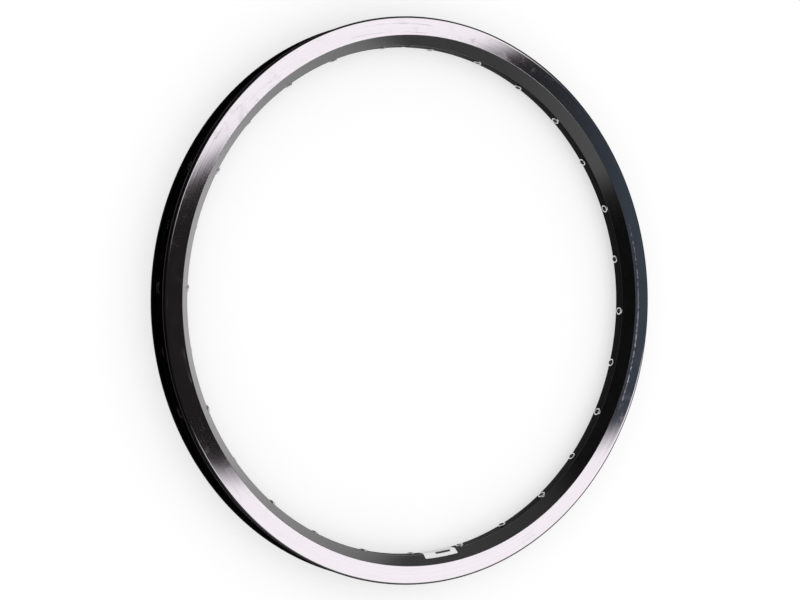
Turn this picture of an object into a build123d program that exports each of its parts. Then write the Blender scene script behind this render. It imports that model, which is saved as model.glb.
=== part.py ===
from build123d import *
import math
import os

# A 20 inch bicycle rim lying on its side, in millimetres.
# The hoop is one hollow aluminium bar, rolled round and butted end to end over a sleeve.
# The origin is the middle of the hoop, and +Z is the wheel's axis.
# The valve hole lies on +Y and the butted ends meet on -Y.

# The tyre channel
bead_seat_radius = 203.0    # half of the tyre's standard 406 mm
rim_width = 24.0            # across both flanges
flange_height = 7.0         # from the bead seat out to the flange's tip
bead_seat_width = 3.6       # from the flange to the edge of the well
bead_seat_drop = 0.15       # fall of the seat towards the well
well_depth = 3.1            # below the bead seat
well_slope = 0.8            # sideways run of the well's side
hook_height = 2.6           # from the tip down to where the hook ends
hook_reach = 0.9            # how far the hook leans over the bead
hook_slope = 0.9            # fall from the hook back to the flange's wall

# The turned brake tracks on both sides, flat in the middle and falling away at both borders
track_inner_border = 1.2    # width of the border nearer the hub
track_inner_fall = 0.22
track_outer_border = 1.6    # width of the border nearer the tyre, up to the flange's tip
track_outer_fall = 0.34
track_flat = 11.1           # between the borders

# The chamber's outside, from the track in to the spoke bed
chamber_height = 7.25       # inside, from the spoke bed to the well
spoke_bed_width = 7.2       # flat of the spoke bed, before its corners are rounded

# Walls
flange_wall = 1.7
slanted_wall = 1.15
spoke_bed_wall = 2.3
tyre_bed_wall = 1.25

# Corners of the section
tip_round = 0.85
track_outer_round = 7.0
track_inner_round = 3.0
shoulder_round = 0.4
spoke_bed_round = 2.2
hook_round = 0.35
seat_round = 0.8
well_round = 0.9
chamber_round = 0.6

# Spoke holes and valve hole
spoke_count = 28
spoke_stagger = 1.0         # each hole's offset from the mid-plane, in turn up and down
spoke_hole_radius = 2.6
seat_depth = 0.3            # flat pressed around each spoke hole, below the spoke bed
seat_clearance = 0.1        # between that flat's rim and the eyelet's flange
access_clearance = 1.4      # around the eyelet's flange, through the tyre bed
valve_hole_radius = 4.25

# Eyelets
eyelet_bore_radius = 2.15
eyelet_flange_reach = 0.4   # flange beyond the barrel
eyelet_flange_height = 1.25
eyelet_flange_round = 0.35
eyelet_collar_reach = 0.5   # rolled over inside the chamber
eyelet_collar_height = 0.5
eyelet_mouth_bevel = 0.25

# Butted ends and the sleeve across them
seam_gap = 0.1
sleeve_length = 32.0
sleeve_wall = 1.4
sleeve_clearance = 0.08

# Label over the seam, on the spoke bed and part of the upper slanted wall
label_length = 28.0
label_thickness = 0.2
label_rise = 4.9            # how far it climbs the slanted wall
label_past_seam = 1.2       # its middle lies this far along the hoop from the seam

# Radii worked out from the sizes above
rim_radius = bead_seat_radius + flange_height
hook_base_radius = rim_radius - hook_height
flat_outer_radius = rim_radius - track_outer_border
flat_inner_radius = flat_outer_radius - track_flat
shoulder_radius = flat_inner_radius - track_inner_border
seat_edge_radius = bead_seat_radius - bead_seat_drop
seat_underside_radius = seat_edge_radius - tyre_bed_wall
well_radius = bead_seat_radius - well_depth
well_underside_radius = well_radius - tyre_bed_wall
bed_inside_radius = well_underside_radius - chamber_height
chamber_middle_radius = (bed_inside_radius + well_underside_radius) / 2
spoke_bed_radius = bed_inside_radius - spoke_bed_wall
eyelet_seat_radius = spoke_bed_radius + seat_depth

# Heights above the mid-plane worked out from the sizes above
half_width = rim_width / 2
tip_half = half_width - track_outer_fall
shoulder_half = half_width - track_inner_fall
spoke_bed_half = spoke_bed_width / 2
channel_half = half_width - flange_wall
hook_half = channel_half - hook_reach
seat_edge_half = channel_half - bead_seat_width
well_half = seat_edge_half - well_slope

# Sizes about each hole's own axis, and angles
eyelet_flange_radius = spoke_hole_radius + eyelet_flange_reach
eyelet_collar_radius = spoke_hole_radius + eyelet_collar_reach
access_hole_radius = eyelet_flange_radius + access_clearance
slant_angle = math.atan2(shoulder_radius - spoke_bed_radius, shoulder_half - spoke_bed_half)
spoke_pitch = 360 / spoke_count
valve_angle = 90.0
seam_angle = valve_angle - 180
beyond = rim_width          # margin by which a cutter passes what it cuts


def arc_degrees(length, radius):
    """Angle that a length takes up along a circle."""
    return math.degrees(length / radius)


def filleted_face(rows):
    """Face in the (radius, height) plane from rows of radius, height and corner round."""
    points = [(radius, height) for radius, height, _ in rows]
    return make_face(Plane.XZ * FilletPolyline(*points, radius=[row[2] for row in rows], close=True))


def mirrored_face(half):
    """Face from the rows of its upper half, mirrored below the mid-plane."""
    return filleted_face(half + [(radius, -height, corner) for radius, height, corner in reversed(half)])


def hoop_outline():
    """Upper half of the hoop's section, from the spoke bed out to the flange and back to the well."""
    return [
        (spoke_bed_radius, spoke_bed_half, spoke_bed_round),
        (shoulder_radius, shoulder_half, shoulder_round),
        (flat_inner_radius, half_width, track_inner_round),
        (flat_outer_radius, half_width, track_outer_round),
        (rim_radius, tip_half, tip_round),
        (rim_radius, hook_half, tip_round),
        (hook_base_radius, hook_half, hook_round),
        (hook_base_radius - hook_slope, channel_half, hook_round),
        (bead_seat_radius, channel_half, seat_round),
        (seat_edge_radius, seat_edge_half, seat_round),
        (well_radius, well_half, well_round),
    ]


def chamber_outline():
    """Upper half of the chamber's section, from the spoke bed out to the underside of the well."""
    lean = slanted_wall / math.sin(slant_angle)
    low_half = spoke_bed_half - lean + spoke_bed_wall / math.tan(slant_angle)
    side_radius = spoke_bed_radius + (channel_half - spoke_bed_half + lean) * math.tan(slant_angle)
    step_half = seat_edge_half + tyre_bed_wall / 2
    return [
        (bed_inside_radius, low_half, chamber_round),
        (side_radius, channel_half, chamber_round),
        (seat_underside_radius, channel_half, chamber_round),
        (seat_underside_radius, step_half, chamber_round),
        (well_underside_radius, step_half - well_slope, chamber_round),
    ]


def sleeve_outline():
    """Upper half of the sleeve's outside: the chamber's section, cut straight under the well."""
    bottom, side = chamber_outline()[:2]
    return [bottom, side, (well_underside_radius, channel_half, 0)]


def around_hoop(face, length_degrees, middle_degrees):
    """A section carried round the wheel's axis, centred on an angle."""
    return Rot(0, 0, middle_degrees - length_degrees / 2) * revolve(face, Axis.Z, length_degrees)


def radial(angle, height=0.0):
    """Place at the wheel's axis from which a hole runs outward at an angle, at a height."""
    return Rot(0, 0, angle) * Pos(0, 0, height) * Rot(0, 90, 0)


def radial_bore(radius, start, end):
    """Cylinder from one distance to another along a hole's place."""
    return Pos(0, 0, (start + end) / 2) * Cylinder(radius, end - start)


def spoke_places():
    """Where the spoke holes run, from the first one past the valve hole, in turn up and down."""
    places = []
    for number in range(spoke_count):
        side = 1 if number % 2 == 0 else -1
        angle = valve_angle + spoke_pitch * (number + 0.5)
        places.append(radial(angle, side * spoke_stagger))
    return places


def rim_hoop():
    """The rolled bar with its butted ends, drilled for the spokes and the valve."""
    section = mirrored_face(hoop_outline()) - mirrored_face(chamber_outline())
    turn = 360 - arc_degrees(seam_gap, spoke_bed_radius)
    hoop = around_hoop(section, turn, valve_angle)
    spoke_bore = radial_bore(spoke_hole_radius, spoke_bed_radius - beyond, chamber_middle_radius)
    flat_seat = radial_bore(
        eyelet_flange_radius + seat_clearance, spoke_bed_radius - beyond, eyelet_seat_radius
    )
    access = radial_bore(access_hole_radius, chamber_middle_radius, rim_radius + beyond)
    drilled = spoke_bore + flat_seat + access
    cutters = [place * drilled for place in spoke_places()]
    cutters.append(
        radial(valve_angle) * radial_bore(valve_hole_radius, spoke_bed_radius - beyond, rim_radius + beyond)
    )
    return hoop - cutters


def eyelet():
    """One eyelet about its own axis, as a turned section: flange, barrel and rolled collar."""
    flange_face = eyelet_seat_radius - eyelet_flange_height
    collar_face = bed_inside_radius + eyelet_collar_height
    rows = [
        (eyelet_bore_radius, flange_face + eyelet_mouth_bevel, 0),
        (eyelet_bore_radius + eyelet_mouth_bevel, flange_face, 0),
        (eyelet_flange_radius, flange_face, eyelet_flange_round),
        (eyelet_flange_radius, eyelet_seat_radius, 0),
        (spoke_hole_radius, eyelet_seat_radius, 0),
        (spoke_hole_radius, bed_inside_radius, 0),
        (eyelet_collar_radius, bed_inside_radius, 0),
        (eyelet_collar_radius, bed_inside_radius + eyelet_collar_height / 2, 0),
        (spoke_hole_radius, collar_face, 0),
        (eyelet_bore_radius, collar_face, 0),
    ]
    return revolve(filleted_face(rows), Axis.Z)


def spoke_eyelets():
    """An eyelet in every spoke hole."""
    return Compound(children=[place * eyelet() for place in spoke_places()])


def joint_sleeve():
    """Hollow insert in the chamber that carries the butted ends in line."""
    outside = offset(mirrored_face(sleeve_outline()), -sleeve_clearance)
    inside = offset(outside, -sleeve_wall)
    turn = arc_degrees(sleeve_length, chamber_middle_radius)
    return around_hoop(outside - inside, turn, seam_angle)


def label():
    """Thin label wrapped on the spoke bed's flat and partly up the upper slanted wall."""
    half_turn = math.tan(slant_angle / 2)
    flat_half = spoke_bed_half - spoke_bed_round * half_turn
    face_radius = spoke_bed_radius - label_thickness
    top_radius = spoke_bed_radius + label_rise * math.sin(slant_angle)
    top_half = spoke_bed_half + label_rise * math.cos(slant_angle)
    rows = [
        (spoke_bed_radius, -flat_half, 0),
        (spoke_bed_radius, spoke_bed_half, spoke_bed_round),
        (top_radius, top_half, 0),
        (
            top_radius - label_thickness * math.cos(slant_angle),
            top_half + label_thickness * math.sin(slant_angle),
            0,
        ),
        (face_radius, spoke_bed_half + label_thickness * half_turn, spoke_bed_round + label_thickness),
        (face_radius, -flat_half, 0),
    ]
    turn = arc_degrees(label_length, spoke_bed_radius)
    middle = seam_angle + arc_degrees(label_past_seam, spoke_bed_radius)
    return around_hoop(filleted_face(rows), turn, middle)


def main():
    os.makedirs("parts", exist_ok=True)
    pieces = {
        "rim_hoop": rim_hoop(),
        "spoke_eyelets": spoke_eyelets(),
        "joint_sleeve": joint_sleeve(),
        "label": label(),
    }
    for name, piece in pieces.items():
        export_step(piece, f"parts/{name}.step")


main()
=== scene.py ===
import math

import bmesh
import bpy
from mathutils import Matrix, Vector
from mathutils.geometry import tessellate_polygon


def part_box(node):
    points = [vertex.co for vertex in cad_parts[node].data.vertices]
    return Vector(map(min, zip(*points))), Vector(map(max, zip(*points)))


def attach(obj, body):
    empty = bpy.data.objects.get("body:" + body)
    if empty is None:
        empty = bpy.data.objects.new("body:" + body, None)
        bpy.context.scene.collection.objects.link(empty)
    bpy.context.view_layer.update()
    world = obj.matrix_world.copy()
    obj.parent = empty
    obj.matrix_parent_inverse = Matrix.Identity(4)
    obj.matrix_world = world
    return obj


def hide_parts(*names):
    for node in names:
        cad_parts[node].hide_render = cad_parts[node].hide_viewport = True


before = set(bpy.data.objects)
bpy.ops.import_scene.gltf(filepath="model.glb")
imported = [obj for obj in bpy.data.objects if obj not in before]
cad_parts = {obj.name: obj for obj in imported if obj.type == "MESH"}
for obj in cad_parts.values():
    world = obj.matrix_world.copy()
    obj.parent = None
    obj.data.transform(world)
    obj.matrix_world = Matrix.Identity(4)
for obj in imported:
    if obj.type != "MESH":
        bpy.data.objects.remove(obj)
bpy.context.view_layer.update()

MM = 0.001                   # metres in a millimetre

# The hoop's sizes in millimetres, as in the CAD part unless a note says otherwise
bead_seat_radius = 203.0
flange_height = 7.0
bead_seat_width = 3.6
bead_seat_drop = 0.15
well_depth = 3.1
well_slope = 0.8
hook_height = 2.6
hook_reach = 0.9
hook_slope = 0.9
track_inner_border = 1.2     # falls away in the CAD part; the track runs flat across it here
track_inner_fall = 0.22
track_flat = 11.1
track_outer_border = 1.6
track_outer_fall = 0.34
black_tip = 1.0              # the flange's tip, left black outside the turned track
chamber_height = 7.25
spoke_bed_width = 7.2
flange_wall = 1.7
slanted_wall = 1.15
spoke_bed_wall = 2.3
tyre_bed_wall = 1.25
tip_round = 0.85
track_outer_round = 7.0
shoulder_round = 0.4
spoke_bed_round = 2.2
hook_round = 0.35
seat_round = 0.8
well_round = 0.9
chamber_round = 0.6
spoke_count = 28
spoke_stagger = 1.0
spoke_hole_radius = 2.6
seat_depth = 0.3
seat_clearance = 0.1
access_clearance = 1.4
valve_hole_radius = 4.25
eyelet_bore_radius = 2.15
eyelet_flange_reach = 0.4
eyelet_flange_height = 1.25
eyelet_flange_round = 0.35
eyelet_collar_reach = 0.5
eyelet_collar_height = 0.5
eyelet_mouth_bevel = 0.25
seam_line = 0.02             # the butted ends' visible line, finer than the CAD part's gap

# Radii and heights that follow, in millimetres
rim_radius = bead_seat_radius + flange_height
half_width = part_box("rim_hoop")[1].z / MM
hook_base_radius = rim_radius - hook_height
track_edge_radius = rim_radius - black_tip
flat_outer_radius = rim_radius - track_outer_border
cad_shoulder_radius = flat_outer_radius - track_flat - track_inner_border
seat_edge_radius = bead_seat_radius - bead_seat_drop
seat_underside_radius = seat_edge_radius - tyre_bed_wall
well_radius = bead_seat_radius - well_depth
well_underside_radius = well_radius - tyre_bed_wall
bed_inside_radius = well_underside_radius - chamber_height
chamber_middle_radius = (bed_inside_radius + well_underside_radius) / 2
spoke_bed_radius = bed_inside_radius - spoke_bed_wall
eyelet_seat_radius = spoke_bed_radius + seat_depth
tip_half = half_width - track_outer_fall
track_edge_half = tip_half + track_outer_fall * black_tip / track_outer_border
cad_shoulder_half = half_width - track_inner_fall
spoke_bed_half = spoke_bed_width / 2
channel_half = half_width - flange_wall
hook_half = channel_half - hook_reach
seat_edge_half = channel_half - bead_seat_width
well_half = seat_edge_half - well_slope
eyelet_flange_radius = spoke_hole_radius + eyelet_flange_reach
eyelet_collar_radius = spoke_hole_radius + eyelet_collar_reach
access_hole_radius = eyelet_flange_radius + access_clearance
slant_angle = math.atan2(cad_shoulder_radius - spoke_bed_radius, cad_shoulder_half - spoke_bed_half)
shoulder_radius = cad_shoulder_radius + track_inner_fall * math.tan(slant_angle)
valve_angle = math.radians(90)
seam_angle = valve_angle - math.pi

# Fineness of the meshes
hoop_steps = 432             # round the hoop
hole_steps = 48              # round each hole and eyelet
arc_step = math.radians(15)  # in the section's rounded corners, at most
arc_least = 3                # steps in the shortest arc
beyond = 5.0                 # mm by which a cutter passes what it cuts
tiny = 1e-4                  # mm of slack in telling the section's edges apart
sharp_edge = math.radians(30)
wide_face_weight = 100       # the most that wide faces can count in the shading normals

# Finishes of the hoop, by their place in its list of materials
# The last of these, on the tip, channel and bed, is the black finish with its reflection cut down as
# painted shade
BLACK, TURNED, DRILLED, SHADE_DULLED = range(4)
bed_edge_rise = 0.35         # mm up the bed's rounded edge to where the painted shade of its duller, less reflective black ends

# The photograph's view. photo_right and photo_up run right and up in it, in the rim's own plane
photo_turn = math.radians(-3.83)
view_yaw = math.radians(30.86)
focal_px = 1500.0
image_width_px = 800.0
image_height_px = 600.0
hoop_middle_px = (420.87, 300.5)
distance_in_radii = 5.346    # of the hoop's outer radius
view_distance = distance_in_radii * rim_radius * MM
sensor_width = 36.0
view_reach = 100.0           # m that the camera sees
photo_right = Vector((math.cos(photo_turn), math.sin(photo_turn), 0))
photo_up = Vector((-math.sin(photo_turn), math.cos(photo_turn), 0))
up = Vector((0, 0, 1))

# Marks that run round the hoop: drift along it, noise scale per metre and detail
extrusion_lines = (0.03, 2600, 2)
turned_rings = (0.004, 5200, 3)
turned_bands = (0.01, 900, 3)
scratch_lines = (0.025, 1500, 2)

# Marks with no direction: noise scale per metre and detail
black_grain = (2600, 4)
black_patches = (38, 5)
track_patches = (22, 4)
scratched_places = (30, 3)
smudge_spots = (130, 4)
rubbed_spots = (260, 3)
metal_grain = (1800, 4)
label_fibre = (900, 4)
floor_mottle = (3, 2)

# Parts of a noise's values over which its mark comes in
most = (0.3, 0.7)
nearly_all = (0.2, 0.8)
black_tones = (0.15, 0.45)
scratched_part = (0.50, 0.62)
scratch_part = (0.60, 0.70)
smudged_part = (0.55, 0.75)
rubbed_part = (0.36, 0.56)
rubbed_rings = (0.35, 0.6)

# Black finish
black_colours = ((0.0003, 0.0003, 0.0004, 1), (0.0012, 0.0012, 0.0014, 1))
line_roughness = 0.03
grain_height = 0.4           # of the grain beside the lines
bump_strength = 0.25
bump_distance = 0.00002      # m
coat_roughness = 0.17
coat_ior = 1.6

# Turned tracks: their rings lean the surface a little
ring_share = 0.6             # of the rings in the tone, beside the wider bands
track_colours = ((0.86, 0.795, 0.855, 1), (0.95, 0.88, 0.945, 1))
track_roughness = (0.045, 0.055)
ring_roughness = 0.004
scratch_roughness = 0.16
smudge_roughness = 0.05
streak_roughness = 0.45
track_anisotropy = 0.6
quarter_turn = 0.25
ring_lean = 0.004

# Rubbed streak along a track, at the photograph's right
streak_turn = math.radians(-3)
streak_middle = photo_right.copy()
streak_middle.rotate(Matrix.Rotation(streak_turn, 3, "Z"))
streak_reach = math.radians(24)
streak_radius = 199.6        # mm
streak_half = 1.0            # mm
streak_core = streak_half / 3

# Bare metal and eyelets: darker and lighter colour, roughness
drilled_metal = ((0.30, 0.30, 0.31, 1), (0.42, 0.42, 0.43, 1), 0.45)
eyelet_metal = ((0.72, 0.72, 0.73, 1), (0.88, 0.88, 0.88, 1), 0.3)
extruded_metal = ((0.5, 0.5, 0.51, 1), (0.6, 0.6, 0.61, 1), 0.4)
metal_spread = 0.06          # of the roughness, each way

# Label, and the plain bar on it in millimetres along the seam's tangent and up
film_colours = ((0.84, 0.84, 0.84, 1), (0.93, 0.93, 0.925, 1))
film_roughness = (0.38, 0.52)
bar_colour = (0.03, 0.03, 0.035, 1)
bar_middle = 4.0
bar_length = 13.0
bar_height = 4.3
bar_width = 1.8
bar_soft = 0.15

# Floor
floor_reach = 12000.0        # mm
floor_colours = ((0.44, 0.44, 0.44, 1), (0.46, 0.46, 0.46, 1))
floor_roughness = 0.9
floor_gloss = 0.1
floor_lift = 0.57            # what the camera, gloss and glass see beyond the floor's own light
white = (1, 1, 1, 1)

# Studio, by a direction's parts: x along the photograph's right, y along its up, z towards +Z.
# A pair says from where to where a light comes in, and a four adds its share at both places.
near_edge = -0.167           # y where the near light ends, at x = 0
near_edge_lean = 0.122       # y per x along that edge
far_edge = -0.086            # y where the far light ends, at x = 0
far_edge_lean = 0.450
edge_blur = 0.009
light_radiance = 1.0
light_foot = (0.15, 0.60, 0.22, 1.0)    # z of both lights
low_glow = (0.24, 0.34, 0.30, 0.0)      # z of the glow all round
far_right_end = (0.60, 0.66, 1.0, 0.0)  # x of the far light
far_dimming = (0.34, 0.44, 1.0, 0.4)    # y of the far light
light_end = (0.27, 0.33)     # x of both lights; farther left they only come in past light_corner
near_end_lean = 3.5          # times y, added to x for light_corner on the near side
far_end_lean = 2.0           # the same on the far side
light_corner = (1.35, 1.75)
dark_turn = (0.57, 0.65)     # x from the darkness at the left to that at the right
left_dark = (0.0115, 0.0108, 0.0102)
right_dark = (0.043, 0.058, 0.071)


def rounded(rows):
    """Closed outline from rows of (radius, height, corner round), with each corner as an arc."""
    points = []
    for i, (x, y, corner_round) in enumerate(rows):
        corner = Vector((x, y))
        if corner_round == 0:
            points.append(corner)
            continue
        to_last = (Vector(rows[i - 1][:2]) - corner).normalized()
        to_next = (Vector(rows[(i + 1) % len(rows)][:2]) - corner).normalized()
        half = to_last.angle(to_next) / 2
        centre = corner + (to_last + to_next).normalized() * corner_round / math.sin(half)
        start = corner + to_last * corner_round / math.tan(half) - centre
        end = corner + to_next * corner_round / math.tan(half) - centre
        steps = max(arc_least, math.ceil((math.pi - 2 * half) / arc_step))
        turn = start.angle_signed(end)
        for k in range(steps + 1):
            points.append(centre + Matrix.Rotation(-turn * k / steps, 2) @ start)
    return points


def mirrored(half):
    """Rows of the upper half of an outline, and the same below the mid-plane."""
    return half + [(radius, -height, corner) for radius, height, corner in reversed(half)]


def hoop_rows():
    """Upper half of the hoop's section, from the spoke bed out to the flange and back to the well."""
    return [
        (spoke_bed_radius, spoke_bed_half, spoke_bed_round),
        (shoulder_radius, half_width, shoulder_round),
        (flat_outer_radius, half_width, track_outer_round),
        (track_edge_radius, track_edge_half, 0),
        (rim_radius, tip_half, tip_round),
        (rim_radius, hook_half, tip_round),
        (hook_base_radius, hook_half, hook_round),
        (hook_base_radius - hook_slope, channel_half, hook_round),
        (bead_seat_radius, channel_half, seat_round),
        (seat_edge_radius, seat_edge_half, seat_round),
        (well_radius, well_half, well_round),
    ]


def chamber_rows():
    """Upper half of the chamber's section."""
    lean = slanted_wall / math.sin(slant_angle)
    low_half = spoke_bed_half - lean + spoke_bed_wall / math.tan(slant_angle)
    side_radius = spoke_bed_radius + (channel_half - spoke_bed_half + lean) * math.tan(slant_angle)
    step_half = seat_edge_half + tyre_bed_wall / 2
    return [
        (bed_inside_radius, low_half, chamber_round),
        (side_radius, channel_half, chamber_round),
        (seat_underside_radius, channel_half, chamber_round),
        (seat_underside_radius, step_half, chamber_round),
        (well_underside_radius, step_half - well_slope, chamber_round),
    ]


def mesh_object(name, verts, faces, materials=(), face_slots=None):
    """New object from vertices in millimetres, with each face's place in the list of materials."""
    mesh = bpy.data.meshes.new(name)
    mesh.from_pydata([Vector(v) * MM for v in verts], [], faces)
    for material in materials:
        mesh.materials.append(material)
    if face_slots is not None:
        mesh.polygons.foreach_set("material_index", face_slots)
    mesh.update()
    obj = bpy.data.objects.new(name, mesh)
    bpy.context.scene.collection.objects.link(obj)
    return obj


def radial(angle, height=0.0):
    """Place at the wheel's axis from which a hole runs outward at an angle, at a height."""
    laid = Matrix.Rotation(math.pi / 2, 4, "Y")
    return Matrix.Rotation(angle, 4, "Z") @ Matrix.Translation((0, 0, height)) @ laid


def spoke_places():
    """Where the spoke holes run, from the first one past the valve hole, in turn up and down."""
    places = []
    for number in range(spoke_count):
        side = 1 if number % 2 == 0 else -1
        angle = valve_angle + 2 * math.pi / spoke_count * (number + 0.5)
        places.append(radial(angle, side * spoke_stagger))
    return places


def turned(outline, place, closed=True):
    """Vertices and faces of an outline (radius, along) turned about a place's Z axis.

    An outline that isn't closed starts and ends with a flat cap.
    """
    verts, faces = [], []
    count = len(outline)
    for k in range(hole_steps):
        angle = 2 * math.pi * k / hole_steps
        for radius, along in outline:
            verts.append(place @ Vector((radius * math.cos(angle), radius * math.sin(angle), along)))
    for k in range(hole_steps):
        a, b = k * count, (k + 1) % hole_steps * count
        for i in range(count if closed else count - 1):
            j = (i + 1) % count
            faces.append((a + i, b + i, b + j, a + j))
    if not closed:
        faces.append(tuple(k * count for k in reversed(range(hole_steps))))
        faces.append(tuple(k * count + count - 1 for k in range(hole_steps)))
    return verts, faces


def joined(parts):
    """Several (vertices, faces) as one."""
    verts, faces = [], []
    for more_verts, more_faces in parts:
        start = len(verts)
        verts += more_verts
        faces += [tuple(i + start for i in face) for face in more_faces]
    return verts, faces


def smooth(obj):
    """Smooth shading with sharp edges kept."""
    obj.data.shade_smooth()
    obj.data.set_sharp_from_angle(angle=sharp_edge)


def hoop_cutters():
    """The spoke holes with their flat seats and access holes, and the valve hole."""
    low, high = spoke_bed_radius - beyond, rim_radius + beyond
    seat_radius = eyelet_flange_radius + seat_clearance
    stepped = [
        (seat_radius, low),
        (seat_radius, eyelet_seat_radius),
        (spoke_hole_radius, eyelet_seat_radius),
        (spoke_hole_radius, chamber_middle_radius),
        (access_hole_radius, chamber_middle_radius),
        (access_hole_radius, high),
    ]
    valve = [(valve_hole_radius, low), (valve_hole_radius, high)]
    parts = [turned(stepped, place, closed=False) for place in spoke_places()]
    parts.append(turned(valve, radial(valve_angle), closed=False))
    return joined(parts)


def edge_slot(a, b):
    """Finish of an edge of the section: turned on a brake track; dull black on the tip, channel and bed,
    its reflection cut down as painted shade.
    """
    if all(shoulder_radius < p.x < track_edge_radius + tiny and abs(p.y) > channel_half for p in (a, b)):
        return TURNED
    in_channel = all(p.x > well_radius - tiny and abs(p.y) < channel_half + tiny for p in (a, b))
    on_bed = all(p.x < spoke_bed_radius + bed_edge_rise for p in (a, b))
    on_tip = all(p.x > rim_radius - tip_round - tiny for p in (a, b))
    return SHADE_DULLED if in_channel or on_bed or on_tip else BLACK


def outward(obj):
    """Turns every face of a closed mesh outward."""
    bm = bmesh.new()
    bm.from_mesh(obj.data)
    bmesh.ops.recalc_face_normals(bm, faces=bm.faces)
    bm.to_mesh(obj.data)
    bm.free()


def apply_modifiers(obj):
    """Puts the modified mesh in place of the object's own."""
    bpy.context.view_layer.update()
    evaluated = obj.evaluated_get(bpy.context.evaluated_depsgraph_get())
    mesh = bpy.data.meshes.new_from_object(evaluated)
    obj.modifiers.clear()
    old = obj.data
    obj.data = mesh
    bpy.data.meshes.remove(old)


def even_shading(obj):
    """Lets wide faces set the shading normals, so that flats shade flat beside narrow rounds."""
    modifier = obj.modifiers.new("normals", "WEIGHTED_NORMAL")
    modifier.mode = "FACE_AREA"
    modifier.weight = wide_face_weight
    modifier.keep_sharp = True
    apply_modifiers(obj)


def make_hoop(finish, track, drilled, inside):
    """The rolled bar with its butted ends, as a fine mesh of the CAD hoop's form."""
    outer = rounded(mirrored(hoop_rows()))
    inner = rounded(mirrored(chamber_rows()))
    section = outer + inner
    loops = [(0, len(outer)), (len(outer), len(section))]
    gap = seam_line / spoke_bed_radius
    verts, faces, slots = [], [], []
    for k in range(hoop_steps + 1):
        angle = seam_angle + gap / 2 + (2 * math.pi - gap) * k / hoop_steps
        verts += [(p.x * math.cos(angle), p.x * math.sin(angle), p.y) for p in section]
    for k in range(hoop_steps):
        a, b = k * len(section), (k + 1) * len(section)
        for first, last in loops:
            for i in range(first, last):
                j = i + 1 if i + 1 < last else first
                faces.append((a + i, a + j, b + j, b + i))
                slots.append(edge_slot(section[i], section[j]) if first == 0 else SHADE_DULLED)
    flat = [[Vector((p.x, p.y, 0)) for p in loop] for loop in (outer, inner)]
    end = hoop_steps * len(section)
    for tri in tessellate_polygon(flat):
        faces.append(tuple(tri))
        faces.append(tuple(end + i for i in reversed(tri)))
        slots += [BLACK, BLACK]
    materials = (finish, track, drilled, inside)
    hoop = mesh_object("hoop", verts, faces, materials, slots)
    outward(hoop)

    cut_verts, cut_faces = hoop_cutters()
    cutter = mesh_object("hoop_cutter", cut_verts, cut_faces, materials, [DRILLED] * len(cut_faces))
    outward(cutter)
    modifier = hoop.modifiers.new("holes", "BOOLEAN")
    modifier.operation = "DIFFERENCE"
    modifier.solver = "EXACT"
    modifier.object = cutter
    apply_modifiers(hoop)
    bpy.data.objects.remove(cutter)
    smooth(hoop)
    even_shading(hoop)
    return hoop


def make_eyelets(material):
    """The eyelets, turned with rounded edges."""
    flange_face = eyelet_seat_radius - eyelet_flange_height
    collar_face = bed_inside_radius + eyelet_collar_height
    rows = [
        (eyelet_bore_radius, flange_face, eyelet_mouth_bevel),
        (eyelet_flange_radius, flange_face, eyelet_flange_round),
        (eyelet_flange_radius, eyelet_seat_radius, 0),
        (spoke_hole_radius, eyelet_seat_radius, 0),
        (spoke_hole_radius, bed_inside_radius, 0),
        (eyelet_collar_radius, bed_inside_radius, 0),
        (eyelet_collar_radius, collar_face, eyelet_collar_height / 2),
        (eyelet_bore_radius, collar_face, 0),
    ]
    outline = rounded(rows)
    verts, faces = joined([turned(outline, place) for place in spoke_places()])
    eyelets = mesh_object("eyelets", verts, faces, (material,))
    outward(eyelets)
    smooth(eyelets)
    return eyelets


class Nodes:
    """Short calls for building one node tree."""

    def __init__(self, tree):
        self.tree = tree

    def add(self, kind, values=None, **settings):
        """New node, with values for its inputs; a value that is a socket is linked."""
        node = self.tree.nodes.new(kind)
        for name, value in settings.items():
            setattr(node, name, value)
        for key, value in (values or {}).items():
            if isinstance(value, bpy.types.NodeSocket):
                self.tree.links.new(value, node.inputs[key])
            else:
                node.inputs[key].default_value = value
        return node

    def math(self, operation, a, b=0.0):
        """Result of an operation on one or two values."""
        return self.add("ShaderNodeMath", {0: a, 1: b}, operation=operation).outputs[0]

    def vector(self, operation, a, b=(0, 0, 0)):
        """Both outputs of an operation on vectors: the vector first, and "Value"."""
        return self.add("ShaderNodeVectorMath", {0: a, 1: b}, operation=operation).outputs

    def scaled(self, vector, factor):
        """A vector times a value."""
        return self.add("ShaderNodeVectorMath", {0: vector, "Scale": factor}, operation="SCALE").outputs[0]

    def ramp(self, value, low, high, to_low=0.0, to_high=1.0):
        """A value carried from one range to another, held at the ends."""
        inputs = {"Value": value, "From Min": low, "From Max": high, "To Min": to_low, "To Max": to_high}
        return self.add("ShaderNodeMapRange", inputs).outputs["Result"]

    def noise(self, vector, scale, detail):
        """Soft noise from 0 to 1."""
        inputs = {"Vector": vector, "Scale": scale, "Detail": detail}
        return self.add("ShaderNodeTexNoise", inputs).outputs["Fac"]

    def mix(self, factor, a, b):
        """Colour between two. Several sockets share a name, so they go by their numbers."""
        return self.add("ShaderNodeMix", {0: factor, 6: a, 7: b}, data_type="RGBA").outputs[2]


def new_material(name):
    """Empty material with a Principled shader: (material, nodes, shader)."""
    material = bpy.data.materials.new(name)
    material.use_nodes = True
    tree = material.node_tree
    tree.nodes.clear()
    nodes = Nodes(tree)
    shader = nodes.add("ShaderNodeBsdfPrincipled")
    nodes.add("ShaderNodeOutputMaterial", {"Surface": shader.outputs[0]})
    return material, nodes, shader


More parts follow.
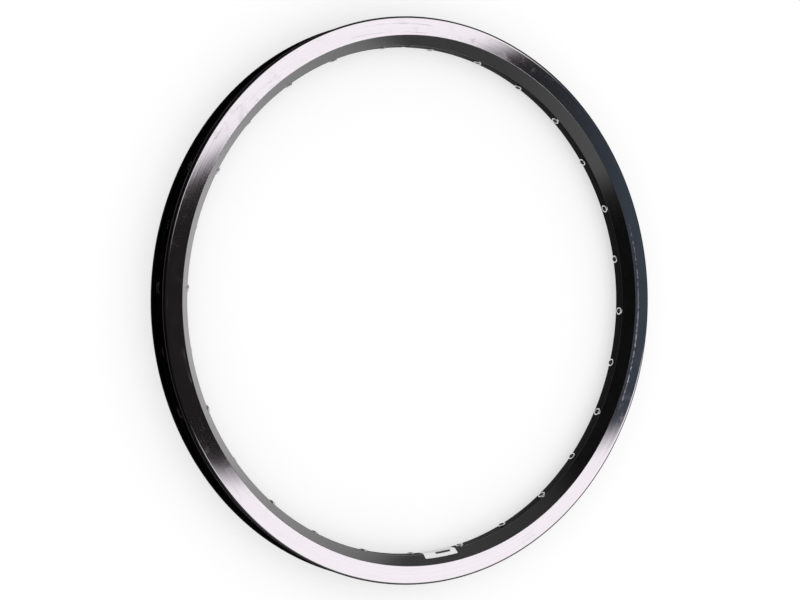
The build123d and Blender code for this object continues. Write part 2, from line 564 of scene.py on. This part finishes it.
def hoop_coordinates(nodes):
    """(position, radius from the axis, height), in metres on the hoop itself."""
    position = nodes.add("ShaderNodeTexCoord").outputs["Object"]
    split = nodes.add("ShaderNodeSeparateXYZ", {"Vector": position}).outputs
    flat = nodes.add("ShaderNodeCombineXYZ", {"X": split["X"], "Y": split["Y"]}).outputs[0]
    return position, nodes.vector("LENGTH", flat)["Value"], split["Z"]


def round_noise(nodes, coordinates, drift, scale, detail):
    """Noise in lines that run round the hoop and drift slowly along it."""
    position, radius, height = coordinates
    across = nodes.add("ShaderNodeCombineXYZ", {"X": radius, "Y": height}).outputs[0]
    lines = nodes.vector("ADD", across, nodes.scaled(position, drift))[0]
    return nodes.noise(lines, scale, detail)


def link(nodes, output, shader, name):
    """Joins an output to one of a shader's inputs."""
    nodes.tree.links.new(output, shader.inputs[name])


def black_finish(name, smoothest, roughest, ior, coat):
    """Black anodised aluminium: faint lines from the extrusion, fine grain and rubbed patches."""
    material, nodes, shader = new_material(name)
    coordinates = hoop_coordinates(nodes)
    lines = round_noise(nodes, coordinates, *extrusion_lines)
    grain = nodes.noise(coordinates[0], *black_grain)
    patches = nodes.noise(coordinates[0], *black_patches)
    tone = nodes.ramp(nodes.math("MULTIPLY", patches, lines), *black_tones)
    link(nodes, nodes.mix(tone, *black_colours), shader, "Base Color")
    fine = nodes.ramp(lines, *most, -line_roughness, line_roughness)
    rough = nodes.math("ADD", nodes.ramp(patches, *most, smoothest, roughest), fine)
    link(nodes, rough, shader, "Roughness")
    height_map = nodes.math("ADD", nodes.math("MULTIPLY", grain, grain_height), lines)
    bump = {"Strength": bump_strength, "Distance": bump_distance, "Height": height_map}
    link(nodes, nodes.add("ShaderNodeBump", bump).outputs[0], shader, "Normal")
    shader.inputs["IOR"].default_value = ior
    shader.inputs["Coat Weight"].default_value = coat
    shader.inputs["Coat Roughness"].default_value = coat_roughness
    shader.inputs["Coat IOR"].default_value = coat_ior
    return material


def rubbed_streak(nodes, coordinates, rings):
    """Narrow scuffed stretch near the track's inner edge, on the photograph's right."""
    position, radius, _ = coordinates
    away = nodes.vector("NORMALIZE", position)[0]
    turn = nodes.vector("DOT_PRODUCT", away, streak_middle)["Value"]
    along = nodes.ramp(turn, math.cos(streak_reach), math.cos(streak_reach / 2))
    off = nodes.math("ABSOLUTE", nodes.math("SUBTRACT", radius, streak_radius * MM))
    across = nodes.ramp(off, streak_half * MM, streak_core * MM)
    worn = nodes.ramp(nodes.noise(position, *rubbed_spots), *rubbed_part)
    broken = nodes.math("MULTIPLY", worn, nodes.ramp(rings, *rubbed_rings))
    return nodes.math("MULTIPLY", nodes.math("MULTIPLY", along, across), broken)


def brake_track():
    """Turned aluminium: fine rings tilt the surface a little towards the hub and away from it."""
    material, nodes, shader = new_material("machined_track")
    coordinates = hoop_coordinates(nodes)
    position = coordinates[0]
    rings = round_noise(nodes, coordinates, *turned_rings)
    bands = round_noise(nodes, coordinates, *turned_bands)
    ring_tone = nodes.math("MULTIPLY", rings, ring_share)
    tone = nodes.math("ADD", ring_tone, nodes.math("MULTIPLY", bands, 1 - ring_share))
    link(nodes, nodes.mix(nodes.ramp(tone, *most), *track_colours), shader, "Base Color")

    scratches = nodes.ramp(round_noise(nodes, coordinates, *scratch_lines), *scratch_part)
    where = nodes.ramp(nodes.noise(position, *scratched_places), *scratched_part)
    scratches = nodes.math("MULTIPLY", scratches, where)
    smudges = nodes.ramp(nodes.noise(position, *smudge_spots), *smudged_part)
    rough = nodes.ramp(nodes.noise(position, *track_patches), *most, *track_roughness)
    rough = nodes.math("ADD", rough, nodes.ramp(tone, *most, -ring_roughness, ring_roughness))
    for mark, strength in (
        (scratches, scratch_roughness),
        (rubbed_streak(nodes, coordinates, rings), streak_roughness),
        (smudges, smudge_roughness),
    ):
        rough = nodes.math("ADD", rough, nodes.math("MULTIPLY", mark, strength))
    link(nodes, rough, shader, "Roughness")
    shader.inputs["Metallic"].default_value = 1.0
    shader.inputs["Anisotropic"].default_value = track_anisotropy
    shader.inputs["Anisotropic Rotation"].default_value = quarter_turn
    tangent = nodes.add("ShaderNodeTangent", direction_type="RADIAL", axis="Z")
    link(nodes, tangent.outputs[0], shader, "Tangent")

    lean = nodes.ramp(tone, *nearly_all, -ring_lean, ring_lean)
    normal = nodes.add("ShaderNodeNewGeometry").outputs["Normal"]
    away = nodes.vector("NORMALIZE", nodes.vector("MULTIPLY", position, (1, 1, 0))[0])[0]
    leaning = nodes.vector("ADD", normal, nodes.scaled(away, lean))[0]
    link(nodes, nodes.vector("NORMALIZE", leaning)[0], shader, "Normal")
    return material


def plain_metal(name, low, high, roughness):
    """Bare metal with a soft grain, between two colours."""
    material, nodes, shader = new_material(name)
    position = nodes.add("ShaderNodeTexCoord").outputs["Object"]
    grain = nodes.noise(position, *metal_grain)
    link(nodes, nodes.mix(nodes.ramp(grain, *most), low, high), shader, "Base Color")
    rough = nodes.ramp(grain, *most, roughness - metal_spread, roughness + metal_spread)
    link(nodes, rough, shader, "Roughness")
    shader.inputs["Metallic"].default_value = 1.0
    return material


def band(nodes, value, middle, width):
    """1 within a width about a middle in millimetres, with a soft edge, and 0 outside it."""
    off = nodes.math("ABSOLUTE", nodes.math("SUBTRACT", value, middle * MM))
    return nodes.ramp(off, width / 2 * MM, (width / 2 - bar_soft) * MM)


def label_film():
    """White film with a plain dark bar, along the spoke bed's rounded edge."""
    material, nodes, shader = new_material("label_film")
    position = nodes.add("ShaderNodeTexCoord").outputs["Object"]
    fibre = nodes.noise(position, *label_fibre)
    split = nodes.add("ShaderNodeSeparateXYZ", {"Vector": position}).outputs
    length = band(nodes, split["X"], bar_middle, bar_length)
    bar = nodes.math("MULTIPLY", length, band(nodes, split["Z"], bar_height, bar_width))
    film = nodes.mix(fibre, *film_colours)
    link(nodes, nodes.mix(bar, film, bar_colour), shader, "Base Color")
    link(nodes, nodes.ramp(fibre, *most, *film_roughness), shader, "Roughness")
    return material


def floor_material():
    """Matt white floor. What the camera, gloss and glass see is lifted to a white ground."""
    material, nodes, shader = new_material("white_floor")
    position = nodes.add("ShaderNodeTexCoord").outputs["Object"]
    colour = nodes.mix(nodes.noise(position, *floor_mottle), *floor_colours)
    link(nodes, colour, shader, "Base Color")
    shader.inputs["Roughness"].default_value = floor_roughness
    shader.inputs["Specular IOR Level"].default_value = floor_gloss
    shader.inputs["Emission Color"].default_value = white
    path = nodes.add("ShaderNodeLightPath").outputs
    seen = nodes.math("MAXIMUM", path["Is Camera Ray"], path["Is Glossy Ray"])
    seen = nodes.math("MAXIMUM", seen, path["Is Transmission Ray"])
    link(nodes, nodes.math("MULTIPLY", seen, floor_lift), shader, "Emission Strength")
    return material


def make_floor():
    """Wide floor that the rim lies on."""
    signs = ((-1, -1), (1, -1), (1, 1), (-1, 1))
    corners = [(x * floor_reach, y * floor_reach, -half_width) for x, y in signs]
    floor = mesh_object("floor", corners, [(0, 1, 2, 3)], (floor_material(),))


def make_world():
    """Studio: two broad soft lights overhead with dark between them, dim and dark to the sides.

    Directions count in the photograph's axes. In them each light ends at a straight edge: the near
    one nearly along the view's left and right, and the far one at more of a lean. A dim glow lies
    all round, low down. Only gloss and glass show the lights apart. For matt surfaces they act as
    one even white dome.
    """
    world = bpy.data.worlds.new("studio")
    bpy.context.scene.world = world
    world.use_nodes = True
    world.node_tree.nodes.clear()
    nodes = Nodes(world.node_tree)
    direction = nodes.add("ShaderNodeTexCoord").outputs["Generated"]
    turn = {"Vector": direction, "Angle": -photo_turn}
    turned_direction = nodes.add("ShaderNodeVectorRotate", turn, rotation_type="Z_AXIS").outputs[0]
    x, y, z = nodes.add("ShaderNodeSeparateXYZ", {"Vector": turned_direction}).outputs
    leaning = nodes.math("SUBTRACT", y, nodes.math("MULTIPLY", x, near_edge_lean))
    near = nodes.ramp(leaning, near_edge + edge_blur, near_edge - edge_blur)
    leaning = nodes.math("SUBTRACT", y, nodes.math("MULTIPLY", x, far_edge_lean))
    far = nodes.ramp(leaning, far_edge - edge_blur, far_edge + edge_blur)
    far = nodes.math("MULTIPLY", far, nodes.ramp(x, *far_right_end))
    far = nodes.math("MULTIPLY", far, nodes.ramp(y, *far_dimming))
    light = nodes.math("MULTIPLY", nodes.math("ADD", near, far), nodes.ramp(z, *light_foot))
    near_aside = nodes.math("MULTIPLY", y, -near_end_lean)
    far_aside = nodes.math("MULTIPLY", y, far_end_lean)
    aside = nodes.math("ADD", x, nodes.math("MAXIMUM", near_aside, far_aside))
    end = nodes.math("MAXIMUM", nodes.ramp(x, *light_end), nodes.ramp(aside, *light_corner))
    light = nodes.math("MINIMUM", nodes.math("MULTIPLY", light, end), 1.0)
    light = nodes.math("MAXIMUM", light, nodes.ramp(z, *low_glow))
    dark = nodes.mix(nodes.ramp(x, *dark_turn), (*left_dark, 1), (*right_dark, 1))
    room = nodes.mix(light, dark, (light_radiance, light_radiance, light_radiance, 1))
    path = nodes.add("ShaderNodeLightPath").outputs
    mirrored_ray = nodes.math("MAXIMUM", path["Is Glossy Ray"], path["Is Transmission Ray"])
    colour = nodes.mix(mirrored_ray, white, room)
    background = nodes.add("ShaderNodeBackground", {"Color": colour, "Strength": 1.0})
    nodes.add("ShaderNodeOutputWorld", {"Surface": background.outputs[0]})


def make_camera():
    """Camera of the photograph's view, by its focal length and where the hoop's middle lies in it."""
    right = photo_right * math.cos(view_yaw) + up * math.sin(view_yaw)
    ahead = photo_right * math.sin(view_yaw) - up * math.cos(view_yaw)
    scale = view_distance / focal_px
    middle = (
        right * (hoop_middle_px[0] - image_width_px / 2) * scale
        - photo_up * (hoop_middle_px[1] - image_height_px / 2) * scale
        + ahead * view_distance
    )
    data = bpy.data.cameras.new("camera")
    data.sensor_width = sensor_width
    data.sensor_fit = "HORIZONTAL"
    data.lens = sensor_width * focal_px / image_width_px
    data.clip_end = view_reach
    camera = bpy.data.objects.new("camera", data)
    bpy.context.scene.collection.objects.link(camera)
    rotation = Matrix((right, photo_up, -ahead)).transposed()
    camera.matrix_world = Matrix.Translation(-middle) @ rotation.to_4x4()
    bpy.context.scene.camera = camera


bpy.context.scene.view_settings.view_transform = "Standard"

finish = black_finish("black_anodised", smoothest=0.19, roughest=0.27, ior=1.6, coat=1.0)
# The same black, rougher, with its reflection cut down by a low IOR and no coat: painted shade on the bed,
# channel and tip
inside = black_finish("black_inside_painted_shade", smoothest=0.42, roughest=0.56, ior=1.14, coat=0.0)
drilled = plain_metal("drilled", *drilled_metal)
hoop = make_hoop(finish, brake_track(), drilled, inside)
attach(hoop, "root")
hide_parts("rim_hoop")

eyelets = make_eyelets(plain_metal("eyelet", *eyelet_metal))
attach(eyelets, "root")
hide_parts("spoke_eyelets")

for node, material in (
    ("joint_sleeve", plain_metal("extruded", *extruded_metal)),
    ("label", label_film()),
):
    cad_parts[node].data.materials.clear()
    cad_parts[node].data.materials.append(material)

make_floor()
make_world()
make_camera()
